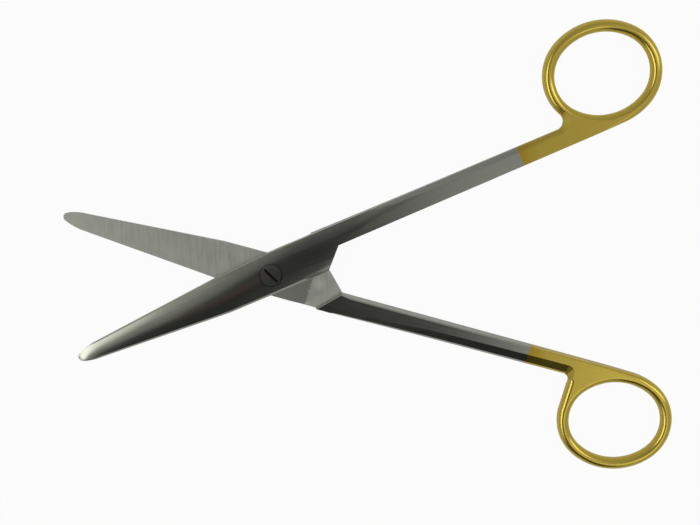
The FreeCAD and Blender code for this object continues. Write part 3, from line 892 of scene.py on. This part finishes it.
halfFinish = {
    "steel": (0.49, 0.505, 0.45, 1.0),
    "steelWarm": (0.51, 0.50, 0.44, 1.0),
    "groundSteel": (0.66, 0.665, 0.61, 1.0),
    "groundDark": (0.48, 0.485, 0.44, 1.0),
    # colour of the hollow's painted highlight, also used for the scuffs
    "highlightAndScuffSteel": (0.88, 0.88, 0.82, 1.0),
    # painted shadow colour of the land before the hollow
    "landShadowSteel": (0.27, 0.275, 0.24, 1.0),
    "gold": (0.78, 0.585, 0.10, 1.0),
    "goldDeep": (0.70, 0.45, 0.04, 1.0),
    # dark colour in the seam round the screw's head: painted shade with grime
    "grimeAndShade": (0.02, 0.02, 0.018, 1.0),
    "goldFrom": {1.0: 71.25 * mm, -1.0: 70.7 * mm},
    "goldBlend": 0.35 * mm,
    "goldRagged": 0.35 * mm,
    "goldTinted": 5.0 * mm,
    "goldCoat": 0.12,
    "polished": 0.13,
    "satin": 0.44,
    "goldPolish": 0.20,
    "polishSpread": 0.08,
    "satinSpread": 0.2,
    "satinTo": 19.3 * mm,
    "satinFade": 1.0 * mm,
    "satinBelow": 0.2 * mm,
    "satinDepth": 0.4 * mm,
    "faceFade": 0.05 * mm,
    "strokeShare": 0.6,
    "groundFrom": 0.3,
    "groundContrast": 2.2,
    "headSeam": 3.0 * mm,
    "seamFade": 0.03 * mm,
    "hollowFrom": 11.0 * mm,
    "hollowFade": 0.4 * mm,
    # centre, reach and strength of the painted highlight in the hollow's middle
    "highlightMiddle": (13.2 * mm, -0.6 * mm),
    "highlightReach": 2.3 * mm,
    "hollowHighlight": 0.6,
    # where the land's painted shadow begins, how it fades in, and how strong it is
    "landShadowFrom": -3.0 * mm,
    "landShadowFade": 4.0 * mm,
    "landShadowShare": 0.8,
    "scuffReach": 0.8 * mm,
    "scuffWander": 1.6 * mm,
    "scuffSharp": 6.0,
    "scuffBright": 0.6,
    "polishMarks": 0.30,
    "goldMarks": 0.03,
    "strokeMarks": 2.2,
    "bump": 0.22,
    "bumpHeight": 0.004 * mm,
    # noises: waves per metre along each axis, detail, and turn about the third axis
    "noises": {
        "ragged": ((900.0, 900.0, 900.0), 2.0, 0.0),
        "clouds": ((45.0, 140.0, 140.0), 3.0, 0.0),
        "strokes": ((1500.0, 130.0, 130.0), 4.0, 0.30),
        "polish": ((70.0, 1500.0, 1500.0), 4.0, 0.0),
        "flecks": ((800.0, 1900.0, 700.0), 4.0, 0.5),
        "wander": ((500.0, 500.0, 500.0), 2.0, 0.0),
    },
}


def saturate(value):
    return value.math("MAXIMUM", 0.0).math("MINIMUM", 1.0)


def localPlace(graph, side):
    # a half's own drawing coordinates, whichever way it lies
    form = halfForm
    turn = math.radians(form["opening"])
    height = form["thickness"] * mm if side < 0.0 else -(form["thickness"] + form["gap"]) * mm
    return graph.node("ShaderNodeMapping", {"vector_type": "POINT"}, {
        "Vector": graph.node("ShaderNodeTexCoord", output=3),
        "Scale": (1.0, side, side),
        "Rotation": (0.0, 0.0, -turn),
        "Location": (0.0, 0.0, height),
    })


def axisOf(graph, place, axis):
    return graph.node("ShaderNodeSeparateXYZ", None, {"Vector": place}, axis)


def fromPivot(graph, place):
    # distance from the pivot's axis
    flat = graph.node("ShaderNodeVectorMath", {"operation": "MULTIPLY"}, {0: place, 1: (1.0, 1.0, 0.0)})
    return graph.node("ShaderNodeVectorMath", {"operation": "LENGTH"}, {0: flat}, output=1)


def noiseOn(graph, place, noise):
    waves, detail, turn = noise
    turned = graph.node("ShaderNodeMapping", None, {"Vector": place, "Rotation": (0.0, 0.0, turn)})
    stretched = graph.node("ShaderNodeMapping", None, {"Vector": turned, "Scale": waves})
    return graph.node("ShaderNodeTexNoise", None, {"Vector": stretched, "Scale": 1.0, "Detail": detail})


def groundColourOn(graph, place, clouds, strokes):
    # steel ground crosswise: a painted shadow darkens the land before the hollow, a painted highlight
    # lightens the hollow's middle, and scuffs part the two
    finish, noises = halfFinish, halfFinish["noises"]
    alongX, alongY = axisOf(graph, place, 0), axisOf(graph, place, 1)
    share = finish["strokeShare"]
    grain = strokes * share + clouds * (1.0 - share) - finish["groundFrom"]
    grain = saturate(grain * finish["groundContrast"])
    colour = blendColours(graph, grain, finish["groundDark"], finish["groundSteel"])

    # painted shadow: the land before the hollow is darkened where the upper half shades it
    landShadow = saturate((alongX - finish["landShadowFrom"]) / finish["landShadowFade"])
    landShadow = landShadow * saturate((finish["hollowFrom"] - alongX) / finish["hollowFade"])
    colour = blendColours(graph, landShadow * finish["landShadowShare"], colour, finish["landShadowSteel"])

    # painted highlight: the hollow's middle is lightened, fading out from its centre
    middleX, middleY = finish["highlightMiddle"]
    awayX, awayY = alongX - middleX, alongY - middleY
    away = (awayX * awayX + awayY * awayY).math("SQRT")
    highlight = saturate((finish["highlightReach"] - away) / finish["highlightReach"])
    colour = blendColours(graph, highlight * finish["hollowHighlight"], colour, finish["highlightAndScuffSteel"])

    flecks = noiseOn(graph, place, noises["flecks"])
    wander = (noiseOn(graph, place, noises["wander"]) - 0.5) * finish["scuffWander"]
    border = (finish["scuffReach"] - abs(alongX - finish["hollowFrom"] + wander)) / finish["scuffReach"]
    scuff = saturate(border) * saturate((flecks - 0.5) * finish["scuffSharp"]) * finish["scuffBright"]
    return blendColours(graph, scuff, colour, finish["highlightAndScuffSteel"])


def halfMaterial(name, side):
    finish, noises = halfFinish, halfFinish["noises"]
    material, graph = newMaterial(name)
    place = localPlace(graph, side)
    alongX, upZ = axisOf(graph, place, 0), axisOf(graph, place, 2)
    clouds = noiseOn(graph, place, noises["clouds"])
    strokes = noiseOn(graph, place, noises["strokes"])
    polish = noiseOn(graph, place, noises["polish"])

    # gold from a slightly ragged line on, deeper in colour close to it
    ragged = (noiseOn(graph, place, noises["ragged"]) - 0.5) * (2.0 * finish["goldRagged"])
    past = alongX + ragged - finish["goldFrom"][side]
    gold = saturate(past / finish["goldBlend"])
    tint = saturate(past / finish["goldTinted"])
    goldColour = blendColours(graph, tint, finish["goldDeep"], finish["gold"])

    # the sliding face and the hollow are ground satin, the rest is polished
    ground = saturate((finish["satinDepth"] - upZ) / finish["faceFade"])
    ground = ground * saturate((upZ + finish["satinBelow"]) / finish["faceFade"])
    ground = ground * saturate((finish["satinTo"] - alongX) / finish["satinFade"])
    colour = blendColours(graph, clouds, finish["steel"], finish["steelWarm"])
    colour = blendColours(graph, ground, colour, groundColourOn(graph, place, clouds, strokes))
    colour = blendColours(graph, gold, colour, goldColour)

    # painted shade and grime in the seam round the screw's head
    seam = saturate((finish["headSeam"] - fromPivot(graph, place)) / finish["seamFade"])
    colour = blendColours(graph, seam, colour, finish["grimeAndShade"])

    rough = ((polish - 0.5) * finish["polishSpread"] + (clouds - 0.5) * finish["polishSpread"]
             + finish["polished"])
    satin = (strokes - 0.5) * finish["satinSpread"] + (finish["satin"] - finish["polished"])
    rough = rough + ground * satin
    rough = rough + gold * (finish["goldPolish"] - finish["polished"])
    polishMarks = finish["polishMarks"] - gold * (finish["polishMarks"] - finish["goldMarks"])
    height = polish * polishMarks + strokes * ground * finish["strokeMarks"]
    bump = graph.node("ShaderNodeBump", None, {
        "Strength": finish["bump"],
        "Distance": finish["bumpHeight"],
        "Height": height,
    })
    shader = graph.node("ShaderNodeBsdfPrincipled", None, {
        "Base Color": colour,
        "Metallic": 1.0,
        "Roughness": rough,
        "Coat Weight": gold * finish["goldCoat"],
        "Normal": bump,
    })
    graph.finish(shader)
    return material


screwFinish = {
    "steel": (0.49, 0.50, 0.45, 1.0),
    # dark colour in the slot: painted shade with grime
    "grimeAndShade": (0.02, 0.02, 0.018, 1.0),
    "roughness": 0.15,
    "roughSpread": 0.1,
    "grimeAndShadeFrom": 0.34 * mm,
    "grimeAndShadeFade": 0.05 * mm,
    "grimeRough": 0.4,
    "ringWaves": 9000.0,  # radians per metre
    "ringMarks": 0.6,
    "bump": 0.2,
    "bumpHeight": 0.003 * mm,
    "marks": ((400.0, 400.0, 400.0), 3.0, 0.0),
}


def screwMaterial():
    # turned steel with fine rings on its head, and painted shade with grime in the slot
    finish = screwFinish
    material, graph = newMaterial("screwSteel")
    place = graph.node("ShaderNodeTexCoord", output=3)
    top = (2.0 * halfForm["thickness"] + halfForm["gap"]) * mm
    # painted shade with grime below the head's face, in the slot
    below = saturate((top - finish["grimeAndShadeFrom"] - axisOf(graph, place, 2)) / finish["grimeAndShadeFade"])
    rings = (fromPivot(graph, place) * finish["ringWaves"]).math("SINE") * 0.5 + 0.5
    marks = noiseOn(graph, place, finish["marks"])
    bump = graph.node("ShaderNodeBump", None, {
        "Strength": finish["bump"],
        "Distance": finish["bumpHeight"],
        "Height": rings * finish["ringMarks"] + marks,
    })
    rough = below * finish["grimeRough"] + (marks - 0.5) * finish["roughSpread"] + finish["roughness"]
    shader = graph.node("ShaderNodeBsdfPrincipled", None, {
        "Base Color": blendColours(graph, below, finish["steel"], finish["grimeAndShade"]),
        "Metallic": 1.0,
        "Roughness": rough,
        "Normal": bump,
    })
    graph.finish(shader)
    return material


makeHalf("topHalf", "top_half", "upper", 1.0, halfMaterial("topHalfSteel", 1.0))
makeHalf("bottomHalf", "bottom_half", "lower", -1.0, halfMaterial("bottomHalfSteel", -1.0))
makeScrew(screwMaterial())
print("halves and screw done")


# Floor and light
stageSetting = {
    "floorSize": 4.0,
    "floorColour": (0.92, 0.92, 0.92, 1.0),
    "glow": 0.95,
    "mirroredGlow": 0.15,
}


def addFloor():
    shape = bmesh.new()
    bmesh.ops.create_grid(shape, x_segments=1, y_segments=1, size=stageSetting["floorSize"] / 2.0)
    mesh = bpy.data.meshes.new("floor")
    shape.to_mesh(mesh)
    shape.free()
    floor = bpy.data.objects.new("floor", mesh)
    floor.location.z = cadBox[0][2]
    bpy.context.scene.collection.objects.link(floor)
    material, graph = newMaterial("floorPaper")
    seen = graph.node("ShaderNodeLightPath", output=0)
    mirrored = graph.node("ShaderNodeLightPath", output=3)
    paper = graph.node("ShaderNodeBsdfDiffuse", None, {"Color": stageSetting["floorColour"]})
    glow = graph.node("ShaderNodeEmission", None, {"Color": (1.0, 1.0, 1.0, 1.0), "Strength": 1.0})
    share = (seen * stageSetting["glow"]).math("MAXIMUM", mirrored * stageSetting["mirroredGlow"])
    graph.finish(graph.node("ShaderNodeMixShader", None, {0: share, 1: paper, 2: glow}))
    mesh.materials.append(material)


# What the metal mirrors: a grey room with pale and dark areas and three lamps. Each patch is placed by
# the sideways parts of its direction: centre, half size, softness, colour. Later ones lie on top
skySetting = {
    "top": (0.29, 0.295, 0.29, 1.0),
    "rim": (0.46, 0.465, 0.455, 1.0),
    "patches": [
        ((0.40, -0.10), (0.30, 0.50), 0.30, (0.43, 0.43, 0.42, 1.0)),  # pale side
        ((-0.24, 0.14), (0.16, 0.26), 0.45, (0.19, 0.195, 0.185, 1.0)),  # dim area
        ((-0.36, -0.68), (0.26, 0.15), 0.45, (0.07, 0.07, 0.07, 1.0)),  # dark room
        ((-0.02, -0.78), (0.19, 0.18), 0.28, (0.015, 0.016, 0.015, 1.0)),
        ((-0.095, -0.37), (0.142, 0.51), 0.30, (0.030, 0.033, 0.030, 1.0)),
        ((0.0, 0.12), (0.10, 0.16), 0.40, (0.29, 0.295, 0.29, 1.0)),
        ((0.03, -0.40), (0.085, 0.20), 0.28, (0.045, 0.048, 0.045, 1.0)),
        ((-0.14, -0.20), (0.035, 0.09), 0.6, (0.080, 0.052, 0.043, 1.0)),  # reddish glint
        ((-0.47, -0.12), (0.14, 0.36), 0.30, (1.9, 1.94, 1.86, 1.0)),  # lamp
        ((0.64, 0.12), (0.24, 0.17), 0.35, (1.5, 1.5, 1.42, 1.0)),  # lamp
        ((0.24, -0.41), (0.13, 0.16), 0.45, (1.0, 1.0, 0.96, 1.0)),  # lamp
    ],
}


def skyPatch(graph, parts, centre, size, softness):
    squares = [
        ((part - middle) / half).math("POWER", 2.0)
        for part, middle, half in zip(parts, centre, size)
    ]
    away = (squares[0] + squares[1]).math("SQRT")
    return graph.node("ShaderNodeMapRange", {"interpolation_type": "SMOOTHSTEP"}, {
        "Value": away,
        "From Min": 1.0 - softness,
        "From Max": 1.0 + softness,
        "To Min": 1.0,
        "To Max": 0.0,
    })


def addWorld():
    world = bpy.data.worlds.new("studio")
    world.use_nodes = True
    bpy.context.scene.world = world
    graph = Graph(world.node_tree)
    direction = graph.node("ShaderNodeTexCoord", output=0)
    parts = [axisOf(graph, direction, axis) for axis in (0, 1)]
    up = saturate(axisOf(graph, direction, 2))
    colour = blendColours(graph, up, skySetting["rim"], skySetting["top"])
    for centre, size, softness, shade in skySetting["patches"]:
        colour = blendColours(graph, skyPatch(graph, parts, centre, size, softness), colour, shade)
    graph.finish(graph.node("ShaderNodeBackground", None, {"Color": colour, "Strength": 1.0}),
                 "ShaderNodeOutputWorld")


addFloor()
addWorld()
bpy.context.scene.view_settings.view_transform = "Standard"
print("stage and light set")
